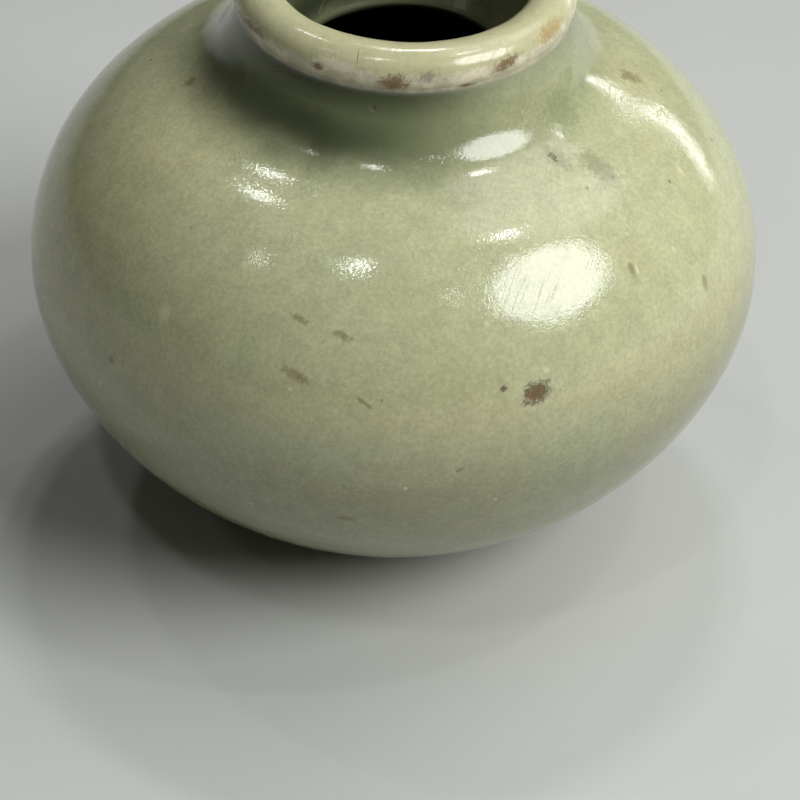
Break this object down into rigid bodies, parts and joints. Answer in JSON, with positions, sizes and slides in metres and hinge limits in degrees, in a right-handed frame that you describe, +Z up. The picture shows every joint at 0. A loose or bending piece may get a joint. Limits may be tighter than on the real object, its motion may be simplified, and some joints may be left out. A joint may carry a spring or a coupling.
{
  "type": "water pot",
  "caption": "Small squat celadon water pot with a short neck, a thick rolled lip and a turned foot ring, glazed inside and out.",
  "frame": {"origin": "centre of the foot ring's bearing face, at the bottom of the pot", "axes": "+Z up through the mouth; the mouth sits a little towards +X and -Y, and it leans down that way, most to the front (-Y)"},
  "size_m": [0.09, 0.09, 0.0751],
  "materials": {
    "clay": "matte fired stoneware",
    "slip": "matte fired slip",
    "glaze": "glossy olive-green celadon glaze"
  },
  "bodies": {
    "root": {"lower_bowl": "clay", "belly_lute": "slip", "shoulder_dome": "clay", "neck_lute": "slip", "neck_collar": "clay", "outer_glaze": "glaze", "inner_glaze": "glaze", "foot_well_glaze": "glaze"}
  },
  "joints": []
}
